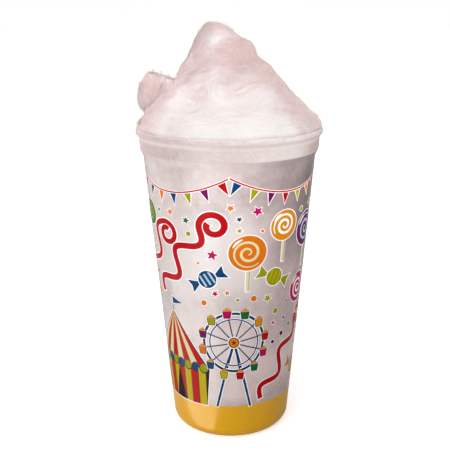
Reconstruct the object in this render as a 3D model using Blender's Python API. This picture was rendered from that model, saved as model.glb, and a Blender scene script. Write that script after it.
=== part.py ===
"""Cotton candy heaped in a tall, tapered plastic cup, as fairgrounds sell it.

Two solids: the moulded cup, with its rolled lip, its straight collar and its recessed foot, and the cotton
candy, which fills the cup and rises above the lip in one peak, with a tuft standing behind it on the left.
Metres, +Z up, origin on the floor under the middle of the cup, front towards -Y.
"""

import math

import bmesh
import bpy
import numpy as np

# The cup's outside
CUP_HEIGHT = 0.175
LIP_OUTER_RADIUS = 0.0517
LIP_DEPTH = 0.0046
COLLAR_TOP_RADIUS = 0.0500
COLLAR_FOOT_RADIUS = 0.0495
COLLAR_FOOT_HEIGHT = 0.1633
SHOULDER_HEIGHT = 0.1593
SHOULDER_RADIUS = 0.0477
FOOT_RADIUS = 0.0338
FOOT_CORNER = 0.0072

# Its inside and its underside
WALL = 0.0010
FLOOR = 0.0014
FOOT_RING_RADIUS = 0.0225
FOOT_RECESS = 0.0020

# The rolled lip is an ellipse in section
LIP_HALF_WIDTH = (LIP_OUTER_RADIUS - COLLAR_TOP_RADIUS + WALL) / 2
LIP_MIDDLE_RADIUS = LIP_OUTER_RADIUS - LIP_HALF_WIDTH
LIP_MIDDLE_HEIGHT = CUP_HEIGHT - LIP_DEPTH / 2

# What the candy keeps clear of the cup's inside, and of the lip that it bulges over
GAP = 0.0003
LIP_GAP = 0.0009

# The mound above the lip, level by level: height above the lip, radius, and shift to the right
MOUND = (
    (-0.0100, 0.0480, 0.0000),
    (0.0030, 0.0500, 0.0000),
    (0.0077, 0.0466, 0.0000),
    (0.0108, 0.0430, 0.0000),
    (0.0168, 0.0370, -0.0004),
    (0.0217, 0.0328, -0.0004),
    (0.0271, 0.0280, -0.0007),
    (0.0325, 0.0243, -0.0018),
    (0.0385, 0.0192, -0.0030),
    (0.0430, 0.0172, -0.0028),
    (0.0465, 0.0147, -0.0034),
    (0.0495, 0.0118, -0.0050),
    (0.0523, 0.0078, -0.0068),
    (0.0541, 0.0044, -0.0080),
    (0.0551, 0.0008, -0.0080),
)

# Distance from the mound's skin per unit of level distance, for sides that slope about 45 degrees
MOUND_STEEPNESS = 0.70

# Swells and hollows of the mound: how far out, then the middle above the lip, then the reach each way
RELIEF = (
    (0.0025, (-0.0263, -0.0270, 0.0160), (0.0100, 0.0100, 0.0080)),
    (0.0025, (0.0170, -0.0310, 0.0180), (0.0100, 0.0100, 0.0080)),
    (-0.0030, (0.0070, -0.0185, 0.0345), (0.0100, 0.0100, 0.0034)),
    (0.0016, (-0.0065, -0.0110, 0.0480), (0.0070, 0.0070, 0.0045)),
    (0.0022, (-0.0035, -0.0230, 0.0310), (0.0045, 0.0060, 0.0060)),
    (0.0026, (-0.0085, -0.0310, 0.0215), (0.0048, 0.0060, 0.0060)),
    (-0.0018, (-0.0140, -0.0240, 0.0290), (0.0045, 0.0060, 0.0090)),
    (-0.0016, (0.0030, -0.0300, 0.0240), (0.0045, 0.0060, 0.0060)),
    (0.0018, (-0.0400, -0.0240, 0.0040), (0.0080, 0.0080, 0.0050)),
    (0.0016, (0.0200, -0.0400, 0.0060), (0.0100, 0.0080, 0.0050)),
    (-0.0025, (0.0180, 0.0300, 0.0200), (0.0060, 0.0200, 0.0120)),
    (0.0025, (-0.0080, 0.0340, 0.0160), (0.0120, 0.0100, 0.0100)),
)

# The tuft behind on the left, its tip, and what bulges over the lip under it, as ellipsoids: middle, then
# radii. Each joins its neighbours in a soft valley this wide.
TUFT = ((-0.0402, 0.0130, 0.0138), (0.0114, 0.0160, 0.0142))
TUFT_TIP = ((-0.0432, 0.0120, 0.0225), (0.0066, 0.0095, 0.0078))
BULGE = ((-0.0452, 0.0000, 0.0018), (0.0060, 0.0200, 0.0042))
TIP_VALLEY = 0.002
BULGE_VALLEY = 0.004

# How finely the solids are faceted
TURN_SEGMENTS = 64
HEAP_RINGS = 24

# Rays from inside the heap find its skin: they start further out than the candy reaches, and step back
# towards the middle by a share of the distance that is left
HEAP_MIDDLE = np.array((-0.004, 0.0, CUP_HEIGHT + 0.004))
HEAP_REACH = 0.075
HIGHEST_RING_ELEVATION = 87
LOWEST_RING_ELEVATION = -1.5
RAY_STEPS = 80
RAY_STEP_SHARE = 0.6

CUP_COLOUR = (0.74, 0.66, 0.66, 1.0)
CANDY_COLOUR = (0.86, 0.72, 0.71, 1.0)


def clear_scene():
    for item in list(bpy.data.objects):
        bpy.data.objects.remove(item)


def plain_material(name, colour, roughness):
    material = bpy.data.materials.new(name)
    material.use_nodes = True
    shader = material.node_tree.nodes["Principled BSDF"]
    shader.inputs["Base Color"].default_value = colour
    shader.inputs["Roughness"].default_value = roughness
    shader.inputs["Metallic"].default_value = 0.0
    return material


def placed(name, mesh, material):
    """Put a finished mesh in the scene, shaded smooth but for its sharp edges."""
    mesh.shade_smooth()
    mesh.set_sharp_from_angle(angle=math.radians(30))
    mesh.materials.append(material)
    item = bpy.data.objects.new(name, mesh)
    bpy.context.scene.collection.objects.link(item)
    return item


def arc(centre, radii, start, end, steps):
    """Points (r, z) along an elliptical arc, from one angle to another in degrees."""
    angles = np.radians(np.linspace(start, end, steps + 1))
    return [(centre[0] + radii[0] * math.cos(a), centre[1] + radii[1] * math.sin(a)) for a in angles]


# ---------------------------------------------------------------- the cup


def inner_radius(z):
    """Radius of the cup's inner wall at a height above its rounded corner."""
    heights = (FOOT_CORNER, SHOULDER_HEIGHT, COLLAR_FOOT_HEIGHT, CUP_HEIGHT)
    radii = (FOOT_RADIUS, SHOULDER_RADIUS, COLLAR_FOOT_RADIUS, COLLAR_TOP_RADIUS)
    return float(np.interp(z, heights, radii)) - WALL


def cup_profile():
    """The cup's section as (r, z), from the middle of its underside out, up, over the lip and back inside."""
    corner_middle = FOOT_RADIUS - FOOT_CORNER
    inner_corner = FOOT_CORNER - WALL
    floor_top = FOOT_RECESS + FLOOR
    lip_middle = (LIP_MIDDLE_RADIUS, LIP_MIDDLE_HEIGHT)

    profile = [(0.0, FOOT_RECESS), (FOOT_RING_RADIUS - FOOT_RECESS, FOOT_RECESS), (FOOT_RING_RADIUS, 0.0)]
    profile += arc((corner_middle, FOOT_CORNER), (FOOT_CORNER, FOOT_CORNER), -90, 0, 6)
    profile += [(SHOULDER_RADIUS, SHOULDER_HEIGHT), (COLLAR_FOOT_RADIUS, COLLAR_FOOT_HEIGHT)]
    profile += arc(lip_middle, (LIP_HALF_WIDTH, LIP_DEPTH / 2), -75, 180, 12)
    profile += [(inner_radius(z), z) for z in (COLLAR_FOOT_HEIGHT, SHOULDER_HEIGHT)]
    profile += arc((corner_middle, floor_top + inner_corner), (inner_corner, inner_corner), 0, -90, 4)
    profile.append((0.0, floor_top))
    return profile


def turned_solid(name, profile, material):
    """A solid of revolution about Z, whose profile starts and ends on the axis."""
    shape = bmesh.new()
    points = [shape.verts.new((r, 0.0, z)) for r, z in profile]
    edges = [shape.edges.new(pair) for pair in zip(points, points[1:])]
    turn = {"cent": (0, 0, 0), "axis": (0, 0, 1), "angle": math.tau, "steps": TURN_SEGMENTS}
    bmesh.ops.spin(shape, geom=points + edges, use_merge=True, **turn)
    bmesh.ops.remove_doubles(shape, verts=shape.verts, dist=0.00001)
    bmesh.ops.recalc_face_normals(shape, faces=shape.faces)
    mesh = bpy.data.meshes.new(name)
    shape.to_mesh(mesh)
    shape.free()
    return placed(name, mesh, material)


# ---------------------------------------------------------------- the cotton candy's outline


def merged(a, b, blend):
    """Two distance fields joined, with a soft valley between them."""
    share = np.clip(0.5 + 0.5 * (b - a) / blend, 0, 1)
    return b * (1 - share) + a * share - blend * share * (1 - share)


def ellipsoid(points, middle, radii):
    """Distance to an ellipsoid, near enough for a soft shape."""
    offset = (points - np.array(middle)) / np.array(radii)
    length = np.linalg.norm(offset, axis=-1)
    slope = np.linalg.norm(offset / np.array(radii), axis=-1)
    return length * (length - 1) / np.maximum(slope, 1e-9)


def mound_column(z, column):
    """One column of MOUND at a height, averaged over a few millimetres so that no level shows as a crease."""
    heights = [level[0] for level in MOUND]
    values = [level[column] for level in MOUND]
    steps = (-0.0018, -0.0006, 0.0006, 0.0018)
    return sum(np.interp(z + step, heights, values) for step in steps) / len(steps)


def mound_field(points):
    """Distance to the mound's skin, negative inside, with no regard to the cup."""
    p = points - np.array((0, 0, CUP_HEIGHT))
    across = np.hypot(p[..., 0] - mound_column(p[..., 2], 2), p[..., 1])
    side = (across - mound_column(p[..., 2], 1)) * MOUND_STEEPNESS
    field = np.maximum(side, p[..., 2] - MOUND[-1][0])
    for out, middle, reach in RELIEF:
        offset = (p - np.array(middle)) / np.array(reach)
        field = field - out * np.exp(-np.sum(offset**2, axis=-1))
    return merged(field, ellipsoid(p, *BULGE), BULGE_VALLEY)


def tuft_field(points):
    p = points - np.array((0, 0, CUP_HEIGHT))
    return merged(ellipsoid(p, *TUFT), ellipsoid(p, *TUFT_TIP), TIP_VALLEY)


def lip_field(points):
    """Distance to the cup's lip, or under it to the cup's inner face, less the gap."""
    across = np.hypot(points[..., 0], points[..., 1])
    above = points[..., 2] - LIP_MIDDLE_HEIGHT
    squeezed = above * LIP_HALF_WIDTH / (LIP_DEPTH / 2)
    over = np.hypot(across - LIP_MIDDLE_RADIUS, squeezed) - LIP_HALF_WIDTH
    inside = LIP_MIDDLE_RADIUS - LIP_HALF_WIDTH - across
    return np.where(above > 0, over, inside) - LIP_GAP


def heap_field(points):
    return np.maximum(mound_field(points), -lip_field(points))


# ---------------------------------------------------------------- the cotton candy's solid


def skin_points(field, middle, rays):
    """Where rays from a middle come out of a field for the last time."""
    reach = np.full(rays.shape[:-1], HEAP_REACH)
    for _ in range(RAY_STEPS):
        reach = reach - RAY_STEP_SHARE * field(middle + rays * reach[..., None])
    return middle + rays * reach[..., None]


def heap_ring(elevation, azimuths):
    """A ring of the mound's skin, seen from inside the mound at an elevation."""
    level, rise = math.cos(elevation), math.sin(elevation)
    rises = np.full_like(azimuths, rise)
    rays = np.stack([level * np.cos(azimuths), level * np.sin(azimuths), rises], axis=-1)
    return skin_points(heap_field, HEAP_MIDDLE, rays)


def level_ring(radius, z, azimuths):
    heights = np.full_like(azimuths, z)
    return np.stack([radius * np.cos(azimuths), radius * np.sin(azimuths), heights], axis=-1)


def candy_rings():
    """Rings of the candy's skin, from the peak down to the cup's floor."""
    azimuths = np.arange(TURN_SEGMENTS) * math.tau / TURN_SEGMENTS
    elevations = np.radians(np.linspace(HIGHEST_RING_ELEVATION, LOWEST_RING_ELEVATION, HEAP_RINGS))
    rings = [heap_ring(elevation, azimuths) for elevation in elevations]
    lip_middle = (LIP_MIDDLE_RADIUS, LIP_MIDDLE_HEIGHT)
    round_the_lip = arc(lip_middle, (LIP_HALF_WIDTH + LIP_GAP, LIP_DEPTH / 2 + LIP_GAP), 95, 180, 3)
    rings += [level_ring(r, z, azimuths) for r, z in round_the_lip]

    rings += [level_ring(inner_radius(z) - GAP, z, azimuths) for z in (COLLAR_FOOT_HEIGHT, SHOULDER_HEIGHT)]
    inner_corner = FOOT_CORNER - WALL
    corner_middle = FOOT_RADIUS - FOOT_CORNER
    floor_top = FOOT_RECESS + FLOOR + GAP
    corner = arc((corner_middle, floor_top + inner_corner), (inner_corner - GAP, inner_corner), 0, -90, 3)
    rings += [level_ring(r, z, azimuths) for r, z in corner]
    return rings


def skinned_solid(name, rings, top, bottom, material):
    """A solid whose skin joins rings of equal length, closed by a fan to a point at each end."""
    shape = bmesh.new()
    rows = [[shape.verts.new(point) for point in ring] for ring in rings]
    count = len(rings[0])
    for upper, lower in zip(rows, rows[1:]):
        for i in range(count):
            j = (i + 1) % count
            shape.faces.new((upper[i], lower[i], lower[j], upper[j]))
    for row, tip in ((rows[0], top), (rows[-1], bottom)):
        point = shape.verts.new(tip)
        for i in range(count):
            shape.faces.new((row[i], row[(i + 1) % count], point))
    bmesh.ops.triangulate(shape, faces=shape.faces)
    bmesh.ops.recalc_face_normals(shape, faces=shape.faces)
    mesh = bpy.data.meshes.new(name)
    shape.to_mesh(mesh)
    shape.free()
    return placed(name, mesh, material)


def tuft_cutter(material):
    """The tuft as a solid of its own, which the mound is united with."""
    middle = np.array(TUFT[0]) + np.array((0, 0, CUP_HEIGHT))
    shape = bmesh.new()
    bmesh.ops.create_icosphere(shape, subdivisions=3, radius=1.0)
    rays = np.array([point.co.normalized() for point in shape.verts])
    for point, place in zip(shape.verts, skin_points(tuft_field, middle, rays)):
        point.co = place
    mesh = bpy.data.meshes.new("tuft")
    shape.to_mesh(mesh)
    shape.free()
    tuft = placed("tuft", mesh, material)
    tuft.hide_render = True
    tuft.display_type = "WIRE"
    return tuft


def main():
    clear_scene()
    cup_plastic = plain_material("cup_plastic", CUP_COLOUR, 0.35)
    spun_sugar = plain_material("spun_sugar", CANDY_COLOUR, 0.95)
    turned_solid("cup", cup_profile(), cup_plastic)

    straight_up = np.array((0.0, 0.0, 1.0))
    peak = skin_points(heap_field, HEAP_MIDDLE, straight_up)
    floor_middle = (0.0, 0.0, FOOT_RECESS + FLOOR + GAP)
    candy = skinned_solid("cotton_candy", candy_rings(), peak, floor_middle, spun_sugar)
    union = candy.modifiers.new("tuft", "BOOLEAN")
    union.operation = "UNION"
    union.object = tuft_cutter(spun_sugar)


main()
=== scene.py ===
"""The looks of a cup of cotton candy: a printed plastic cup with a heap of spun sugar in it.

Units are metres, but the cup's print is drawn in millimetres on a flat label, which is then wrapped round
the cup. Front is -Y. The print is drawn on one half of the label and repeated on the other half.
"""

import math

import bpy
import numpy as np
from mathutils import Matrix, Vector
from mathutils.bvhtree import BVHTree
from mathutils.geometry import delaunay_2d_cdt


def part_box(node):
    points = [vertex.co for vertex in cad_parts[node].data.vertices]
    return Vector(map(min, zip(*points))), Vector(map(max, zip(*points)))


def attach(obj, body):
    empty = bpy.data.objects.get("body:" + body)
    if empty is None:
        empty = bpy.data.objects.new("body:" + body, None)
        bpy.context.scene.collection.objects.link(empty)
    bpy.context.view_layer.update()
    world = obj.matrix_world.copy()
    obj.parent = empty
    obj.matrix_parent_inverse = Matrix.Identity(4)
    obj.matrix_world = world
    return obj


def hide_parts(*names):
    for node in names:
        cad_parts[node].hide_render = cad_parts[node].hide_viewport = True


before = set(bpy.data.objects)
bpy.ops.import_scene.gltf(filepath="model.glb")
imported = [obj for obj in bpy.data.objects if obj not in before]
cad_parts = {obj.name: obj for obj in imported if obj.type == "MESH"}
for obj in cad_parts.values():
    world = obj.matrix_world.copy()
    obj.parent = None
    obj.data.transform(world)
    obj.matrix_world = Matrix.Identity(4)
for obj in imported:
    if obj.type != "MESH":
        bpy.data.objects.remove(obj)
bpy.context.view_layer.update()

# The height of the cup's lip
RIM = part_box("cup")[1].z

# ---------------------------------------------------------------- the camera and the studio

CAMERA_DISTANCE = 0.4585
CAMERA_HEIGHT = 0.2432
CAMERA_PITCH = math.radians(15.298)
CAMERA_YAW = math.radians(-0.336)
CAMERA_ROLL = math.radians(-0.449)
CAMERA_LENS = 66.66
CAMERA_SENSOR = 36.0


def add_camera():
    camera = bpy.data.objects.new("camera", bpy.data.cameras.new("camera"))
    camera.data.lens = CAMERA_LENS
    camera.data.sensor_width = CAMERA_SENSOR
    camera.data.clip_start = 0.01
    aside = Matrix.Rotation(-CAMERA_YAW, 4, "Z")
    down = Matrix.Rotation(math.pi / 2 - CAMERA_PITCH, 4, "X")
    roll = Matrix.Rotation(CAMERA_ROLL, 4, "Z")
    camera.matrix_world = Matrix.Translation((0.0, -CAMERA_DISTANCE, CAMERA_HEIGHT)) @ aside @ down @ roll
    bpy.context.scene.collection.objects.link(camera)
    bpy.context.scene.camera = camera


def add_softbox(name, azimuth, elevation, distance, width, height, radiance, aim, spread=180.0):
    """A rectangular light, placed by its direction from the aim point: azimuth 0 is the front, + is right."""
    lamp = bpy.data.lights.new(name, "AREA")
    lamp.shape = "RECTANGLE"
    lamp.size = width
    lamp.size_y = height
    lamp.energy = radiance * math.pi * width * height
    lamp.spread = math.radians(spread)
    softbox = bpy.data.objects.new(name, lamp)
    a, e = math.radians(azimuth), math.radians(elevation)
    away = Vector((math.sin(a) * math.cos(e), -math.cos(a) * math.cos(e), math.sin(e)))
    softbox.location = Vector(aim) + away * distance
    softbox.rotation_euler = away.to_track_quat("Z", "Y").to_euler()
    bpy.context.scene.collection.objects.link(softbox)
    return softbox


class Nodes:
    """A material's node tree, with a short way to add and link nodes."""

    def __init__(self, name):
        self.material = bpy.data.materials.new(name)
        self.material.use_nodes = True
        self.tree = self.material.node_tree
        self.shader = self.tree.nodes["Principled BSDF"]

    def add(self, kind, inputs=None, **settings):
        node = self.tree.nodes.new("ShaderNode" + kind)
        for key, value in settings.items():
            setattr(node, key, value)
        self.feed(node, inputs or {})
        return node

    def feed(self, node, inputs):
        for key, value in inputs.items():
            if isinstance(value, bpy.types.NodeSocket):
                self.tree.links.new(value, node.inputs[key])
            else:
                node.inputs[key].default_value = value

    def finish(self, **inputs):
        self.feed(self.shader, {key.replace("_", " "): value for key, value in inputs.items()})
        return self.material

    def noise(self, size, detail=3.0, roughness=0.55, place=None):
        """Noise from 0 to 1 with features of about size metres, tied to the object."""
        if place is None:
            place = self.add("TexCoord").outputs["Object"]
        inputs = {"Vector": place, "Scale": 1.0 / size, "Detail": detail, "Roughness": roughness}
        return self.add("TexNoise", inputs).outputs["Fac"]

    def spread(self, value, low, high, to_low=0.0, to_high=1.0):
        inputs = {"Value": value, "From Min": low, "From Max": high, "To Min": to_low, "To Max": to_high}
        return self.add("MapRange", inputs).outputs["Result"]

    def varied(self, size, low, high, *look):
        """A value that drifts between low and high, in patches of about size metres."""
        return self.spread(self.noise(size, *look), 0.3, 0.7, low, high)

    def mix(self, factor, a, b, blend="MIX"):
        node = self.add("Mix", data_type="RGBA", blend_type=blend)
        self.feed(node, {0: factor, 6: a, 7: b})
        return node.outputs[2]

    def math(self, operation, first, *others):
        """The values joined one after another by the operation."""
        for other in others:
            first = self.add("Math", {0: first, 1: other}, operation=operation).outputs[0]
        return first

    def plus(self, *values):
        return self.math("ADD", *values)

    def less(self, *values):
        return self.math("SUBTRACT", *values)

    def times(self, *values):
        return self.math("MULTIPLY", *values)

    def area(self, *ramps):
        """Where all the ramps are high: their product, each given as what spread takes."""
        return self.times(*[self.spread(*ramp) for ramp in ramps])

    def bump(self, height, distance, strength=1.0, normal=None):
        inputs = {"Height": height, "Distance": distance, "Strength": strength}
        if normal:
            inputs["Normal"] = normal
        return self.add("Bump", inputs).outputs["Normal"]


FLOOR_SIZE = 12.0
# The floor brightens towards the camera between these distances from the cup, from and to this much
FLOOR_NEAR, FLOOR_FAR = 0.15, 0.70
FLOOR_LIFT = (0.62, 0.95)
AMBIENT = 0.33

# The studio's soft lights: direction from the object (azimuth 0 is the front, + is right), elevation,
# distance, width, height, and how bright each looks beside a lit white sheet
LIGHTS = {
    "key": (-28.0, 18.0, 0.90, 0.75, 0.60, 2.7),
    "side": (-80.0, 12.0, 0.90, 0.60, 0.60, 1.3),
    "rim": (-128.0, 8.0, 0.90, 0.60, 0.80, 1.0),
    "overhead": (10.0, 74.0, 0.80, 0.50, 0.50, 2.0),
}
LIGHTS_AIM = (0.0, 0.0, 0.12)

# Small lights that catch only the sugar: direction, elevation, how bright, the point they face, the size
# and how widely they spread
SUGAR_LIGHTS = {
    "sugar_right": (52.0, 26.0, 0.92, (0.030, -0.010, 0.196), (0.24, 0.16), 14.0),
    "sugar_left": (-64.0, 34.0, 0.26, (-0.036, 0.000, 0.198), (0.24, 0.16), 14.0),
    "sugar_tuft": (-70.0, 26.0, 0.54, (-0.045, 0.000, 0.189), (0.06, 0.06), 5.0),
    "sugar_back": (180.0, 38.0, 0.75, (0.000, 0.000, 0.205), (0.24, 0.16), 14.0),
}
SUGAR_LIGHT_DISTANCE = 0.50

# Cards that only reflections see: the direction of the right edge, the width, and how bright each looks
CARDS = {
    "card": (-19.5, 0.13, 4.8),
    "wide_card": (-19.5, 0.23, 3.4),
}
# How far a card's near end is from the cup's axis, its length, and its height over the floor
CARD_NEAR, CARD_LENGTH, CARD_HEIGHT = 0.036, 0.60, 0.002


def add_floor():
    """Plain white paper, brightened where the camera sees it, so that it runs into a white surround."""
    nodes = Nodes("floor")
    grain = nodes.varied(0.004, 0.84, 0.88)
    colour = nodes.add("CombineColor", {0: grain, 1: grain, 2: grain}).outputs[0]
    place = nodes.add("TexCoord").outputs["Object"]
    away = nodes.add("VectorMath", {0: place}, operation="LENGTH").outputs["Value"]
    seen = nodes.add("LightPath").outputs["Is Camera Ray"]
    white = (1.0, 1.0, 1.0, 1.0)
    glow = nodes.times(seen, nodes.spread(away, FLOOR_NEAR, FLOOR_FAR, *FLOOR_LIFT))
    paper = nodes.finish(Base_Color=colour, Roughness=0.9, Emission_Color=white, Emission_Strength=glow)
    half = FLOOR_SIZE / 2
    corners = np.array([(-half, -half, 0), (half, -half, 0), (half, half, 0), (-half, half, 0)])
    floor = mesh_object("floor", corners, np.array([(0, 1, 2, 3)]), paper, smooth=False)


def add_surround():
    """Dim light from all round, and plain white where the camera looks past the floor."""
    world = bpy.data.worlds.new("surround")
    bpy.context.scene.world = world
    world.use_nodes = True
    tree = world.node_tree
    tree.nodes.clear()
    choice = tree.nodes.new("ShaderNodeMixShader")
    path = tree.nodes.new("ShaderNodeLightPath")
    tree.links.new(path.outputs["Is Camera Ray"], choice.inputs[0])
    for socket, colour, strength in ((1, (1.0, 0.98, 0.97, 1.0), AMBIENT), (2, (1.0, 1.0, 1.0, 1.0), 1.0)):
        light = tree.nodes.new("ShaderNodeBackground")
        light.inputs["Color"].default_value = colour
        light.inputs["Strength"].default_value = strength
        tree.links.new(light.outputs[0], choice.inputs[socket])
    output = tree.nodes.new("ShaderNodeOutputWorld")
    tree.links.new(choice.outputs[0], output.inputs[0])


def add_reflector(name, edge, width, radiance):
    """A bright card lying at the left of the cup, with its right edge along a line from the cup's axis.
    It shows only as a reflection in the wall."""
    card = add_softbox(name, 0.0, 0.0, 1.0, CARD_LENGTH, width, radiance, (0.0, 0.0, 0.0))
    turn = math.radians(edge)
    along = Vector((math.sin(turn), -math.cos(turn), 0.0))
    side = Vector((-math.cos(turn), -math.sin(turn), 0.0))
    down = Vector((0.0, 0.0, -1.0))
    middle = along * (CARD_NEAR + CARD_LENGTH / 2) + side * (width / 2) - down * CARD_HEIGHT
    facing = Matrix((along, down.cross(along), down)).transposed().to_4x4()
    card.matrix_world = Matrix.Translation(middle) @ facing
    card.visible_camera = False
    card.visible_diffuse = False


def add_studio():
    add_floor()
    add_surround()
    for name, placing in LIGHTS.items():
        add_softbox(name, *placing, LIGHTS_AIM)
    for name, (azimuth, elevation, radiance, aim, size, spread) in SUGAR_LIGHTS.items():
        add_softbox(name, azimuth, elevation, SUGAR_LIGHT_DISTANCE, *size, radiance, aim, spread)
    for name, placing in CARDS.items():
        add_reflector(name, *placing)
    bpy.context.scene.view_settings.view_transform = "Standard"


# ---------------------------------------------------------------- meshes and noise


def mesh_object(name, points, faces, material, normals=None, smooth=True):
    """A mesh from an (n, 3) array of points and an (m, 3) or (m, 4) array of faces."""
    mesh = bpy.data.meshes.new(name)
    sides = faces.shape[1]
    mesh.vertices.add(len(points))
    mesh.vertices.foreach_set("co", points.astype(np.float32).ravel())
    mesh.loops.add(faces.size)
    mesh.loops.foreach_set("vertex_index", faces.astype(np.int32).ravel())
    mesh.polygons.add(len(faces))
    mesh.polygons.foreach_set("loop_start", np.arange(0, faces.size, sides, dtype=np.int32))
    mesh.update(calc_edges=True)
    mesh.polygons.foreach_set("use_smooth", np.full(len(faces), smooth))
    if normals is not None:
        mesh.normals_split_custom_set_from_vertices(normals.astype(np.float32).tolist())
    mesh.materials.append(material)
    item = bpy.data.objects.new(name, mesh)
    bpy.context.scene.collection.objects.link(item)
    return item


def mesh_arrays(mesh):
    """A mesh's points and its triangles."""
    points = np.empty(len(mesh.vertices) * 3, np.float32)
    mesh.vertices.foreach_get("co", points)
    mesh.calc_loop_triangles()
    triangles = np.empty(len(mesh.loop_triangles) * 3, np.int32)
    mesh.loop_triangles.foreach_get("vertices", triangles)
    return points.reshape(-1, 3).astype(float), triangles.reshape(-1, 3)


def unit(vectors):
    length = np.linalg.norm(vectors, axis=-1, keepdims=True)
    return vectors / np.maximum(length, 1e-12)


def point_normals(points, triangles):
    a, b, c = (points[triangles[:, k]] for k in range(3))
    facing = np.cross(b - a, c - a)
    total = np.zeros_like(points)
    for corner in range(3):
        for axis in range(3):
            total[:, axis] += np.bincount(triangles[:, corner], facing[:, axis], len(points))
    return unit(total)


LATTICE = 32
LATTICE_SHIFT = 11.3


def clouds(points, size, seed):
    """Smooth noise between -1 and 1, with features of about the given size."""
    lattice = np.random.default_rng(seed).uniform(-1.0, 1.0, (LATTICE, LATTICE, LATTICE))
    place = points / size + LATTICE_SHIFT
    cell = np.floor(place).astype(int)
    part = place - cell
    part = part * part * (3 - 2 * part)
    total = np.zeros(len(points))
    for corner in np.ndindex(2, 2, 2):
        share = np.prod(np.where(corner, part, 1 - part), axis=1)
        x, y, z = ((cell + corner) % LATTICE).T
        total += lattice[x, y, z] * share
    return total


def layered(points, layers):
    """Smooth noise in layers, each as how much, its feature size and its seed."""
    return sum(amount * clouds(points, size, seed) for amount, size, seed in layers)


def swell(points, middle, reach):
    """1 at the middle, and falling smoothly to 0 beyond the reach."""
    return np.exp(-np.sum(((points - middle) / reach) ** 2, axis=1))


def triangle_edges(triangles):
    return np.concatenate([triangles[:, [0, 1]], triangles[:, [1, 2]], triangles[:, [2, 0]]])


def round_points(angles, reach, middle):
    """Flat points at a reach from the middle, in the directions of the angles."""
    return np.stack([np.cos(angles) * reach, np.sin(angles) * reach], 1) + middle


def tapering(ends, count):
    """Widths along a strand, as the stretch of a half wave between the ends."""
    return np.sin(np.linspace(*ends, count) * math.pi)


# ---------------------------------------------------------------- the spun sugar

# The middle of the cup's mouth. Heights above the lip are measured from it
MOUTH = np.array((0.0, 0.0, RIM))

# The core's mesh size, and how its facets are smoothed away without shrinking it
CORE_GRAIN = 0.0006
TAUBIN = (0.55, -0.58)
SMOOTHING_ROUNDS = 26

# The fine surface ends this far below the rim. From there down the sugar fills the cup: radius, height
FINE_DEPTH = 0.006
FILL = ((0.0481, 0.1634), (0.0464, 0.1593), (0.0324, 0.0105), (0.0295, 0.0046), (0.0266, 0.0037))

# Layers of noise, as how much, feature size and seed. First the surface's relief, which begins at a height
# above the lip and is full a little higher
WAVES = ((0.00060, 0.0070, 3), (0.00040, 0.0032, 4), (0.00022, 0.0015, 5))
WAVES_START, WAVES_RISE = 0.0005, 0.003
# Swirls in the sugar's lay, and its rise and fall
LAY_SWIRL = ((0.0085, 0.016, 21),)
LAY_RISE = ((0.0070, 0.013, 22),)
# How far round the heap the lay's features go for each radian
LAY_TURN = 0.030
# Patches of white and pink, and streaks of them drawn out along the lay
PALE_CLOUDS = ((0.15, 0.009, 31), (0.16, 0.0048, 34))
PALE_STREAKS = ((0.10, 0.0030, 32), (0.10, 0.0015, 33))
# Swirls in the way the strands lie, in radians
STRAND_SWIRL = ((1.5, 0.017, 41), (0.7, 0.007, 42))

# Swells and hollows of the outline: how far out or in, the middle above the lip, the reach each way
SWELLS = (
    (-0.0019, (0.0085, -0.0030, 0.0505), (0.0070, 0.0100, 0.0045)),
    (-0.0013, (0.0180, -0.0030, 0.0370), (0.0080, 0.0140, 0.0040)),
    (-0.0008, (0.0350, -0.0030, 0.0200), (0.0090, 0.0160, 0.0055)),
    (-0.0011, (0.0450, -0.0030, 0.0100), (0.0080, 0.0160, 0.0045)),
    (-0.0004, (-0.0210, -0.0020, 0.0410), (0.0070, 0.0140, 0.0080)),
    (0.0014, (-0.0470, 0.0110, 0.0270), (0.0060, 0.0140, 0.0040)),
    (0.0035, (-0.0325, 0.0040, 0.0215), (0.0050, 0.0120, 0.0050)),
    (-0.0030, (-0.0500, -0.0030, 0.0045), (0.0060, 0.0160, 0.0032)),
)

# How far the sugar swells over the lip and sags there, the swell's middle, and how far up it ends
LIP_FILL, LIP_SAG, LIP_SWELL, LIP_REACH = 0.0012, 0.0006, 0.0003, 0.0022

# The torn tuft's top edge, as the lower of two slopes: height above the lip, where, and the slope. Left of
# TUFT_RIGHT, what stands over the edge is pressed down by this part of its height
TUFT_EDGE = ((0.0265, -0.040, -0.25), (0.0285, -0.0436, 1.3))
TUFT_TEARS = ((0.0007, 0.0017, 6),)
TUFT_RIGHT, TUFT_PRESS = -0.0290, 0.75

# How white the sugar is by its height above the lip, and by its direction from the front in degrees
WHITE_BY_HEIGHT = (
    (0.001, 0.005, 0.009, 0.014, 0.020, 0.025, 0.030, 0.034, 0.042, 0.055),
    (0.95, 0.88, 0.76, 0.66, 0.58, 0.47, 0.36, 0.18, 0.12, 0.26),
)
WHITE_BY_SIDE = ((36, 60, 95, 130, 180), (1.0, 0.05, 0.0, 0.75, 0.9))
WHITEST_SIDE = -7.0
# How far the whitest part leans to the left for its height
WHITE_LEAN = 0.10

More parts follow.
